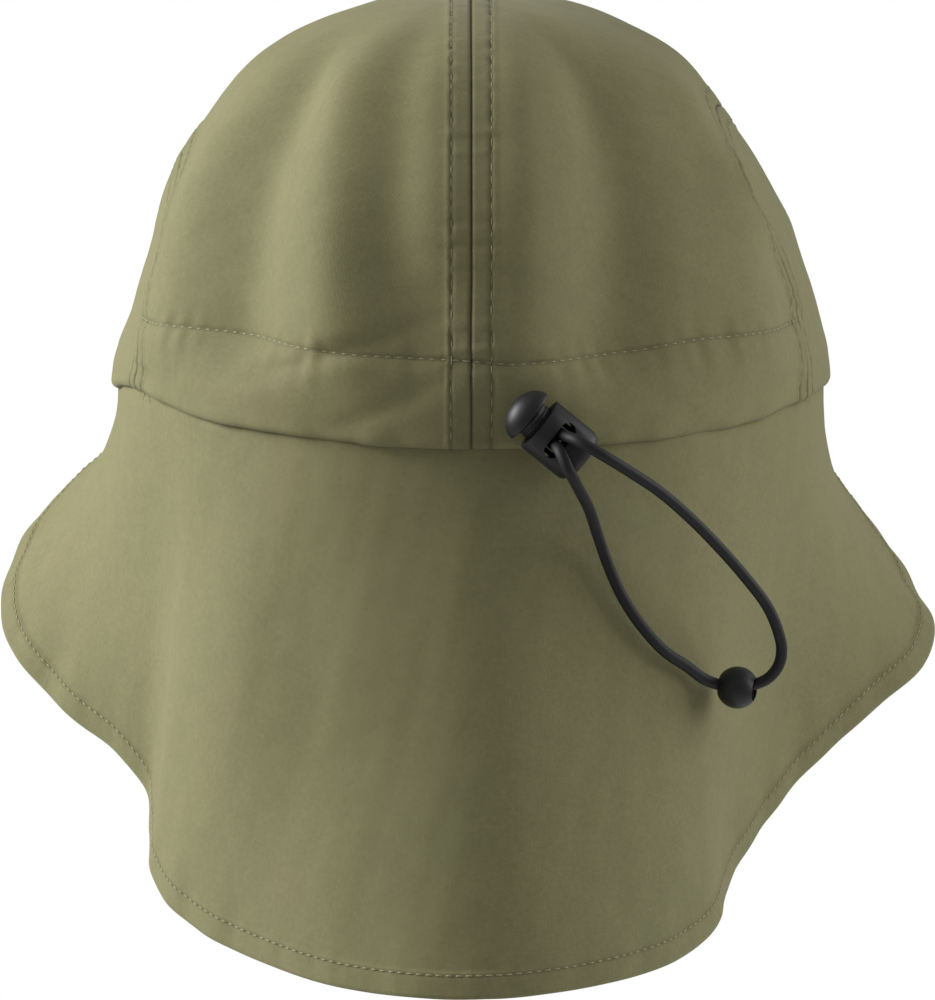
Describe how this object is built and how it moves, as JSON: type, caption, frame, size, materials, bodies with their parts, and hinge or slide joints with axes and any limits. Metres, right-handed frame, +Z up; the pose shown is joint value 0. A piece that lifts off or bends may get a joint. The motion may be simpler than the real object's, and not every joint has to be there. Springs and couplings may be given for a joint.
{
  "type": "legionnaire cap",
  "caption": "Soft panelled cap with a curved peak, a flared flap over the neck, and an elastic drawcord with a sprung lock and end bead behind.",
  "frame": {"origin": "middle of the head opening, in the plane of the crown's rim", "axes": "+Z up through the crown, -Y out along the peak, +Y towards the neck flap, +X to the wearer's left"},
  "size_m": [0.2236, 0.3215, 0.2092],
  "materials": {
    "shell_cloth": "matt plain-weave nylon, khaki olive",
    "black_plastic": "moulded, satin",
    "black_elastic": "braided round elastic"
  },
  "bodies": {
    "cap": {"crown_back_left": "shell_cloth", "crown_back_right": "shell_cloth", "crown_side_left": "shell_cloth", "crown_side_right": "shell_cloth", "crown_front": "shell_cloth", "casing_facing": "shell_cloth", "peak": "shell_cloth", "neck_flap": "shell_cloth", "lock_barrel": "black_plastic", "elastic_cord": "black_elastic", "end_bead": "black_plastic"},
    "button": {"lock_button": "black_plastic"}
  },
  "joints": [
    {"name": "button_press", "type": "slide", "parent": "cap", "child": "button", "axis": [-0.7682, -0.05, -0.6382], "range_m": [0, 0.0022], "stiffness_N_per_m": 400, "springref_m": -0.004}
  ]
}
